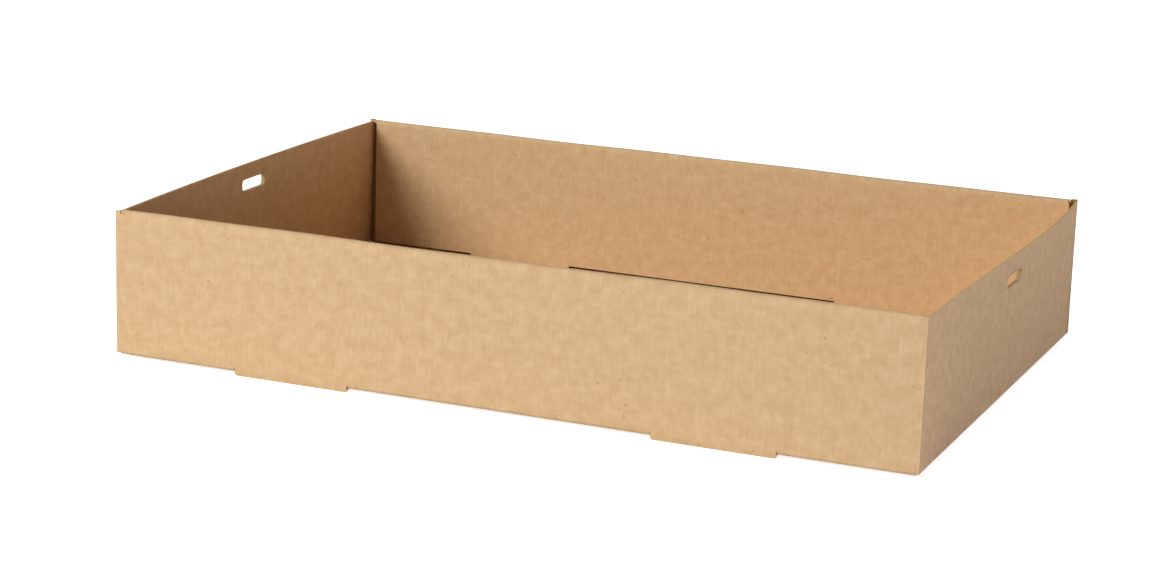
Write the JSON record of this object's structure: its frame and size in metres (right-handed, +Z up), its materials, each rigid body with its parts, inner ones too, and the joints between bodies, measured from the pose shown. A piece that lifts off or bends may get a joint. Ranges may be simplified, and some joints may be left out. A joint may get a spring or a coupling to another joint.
{
  "type": "cardboard tray box",
  "caption": "Open rectangular kraft cardboard tray folded from one sheet, with rolled double long walls locked by tabs through the base and a lid slot in each single end wall.",
  "frame": {"origin": "under the middle of the tray, in the plane of the four lips' ends that it stands on", "axes": "+X along the length towards one end wall, +Y across the width towards one long wall, +Z up out of the open top"},
  "size_m": [0.45, 0.3, 0.0814],
  "materials": {
    "kraft_board": "matte unbleached kraft"
  },
  "bodies": {
    "root": {"tray": "kraft_board"}
  },
  "joints": []
}
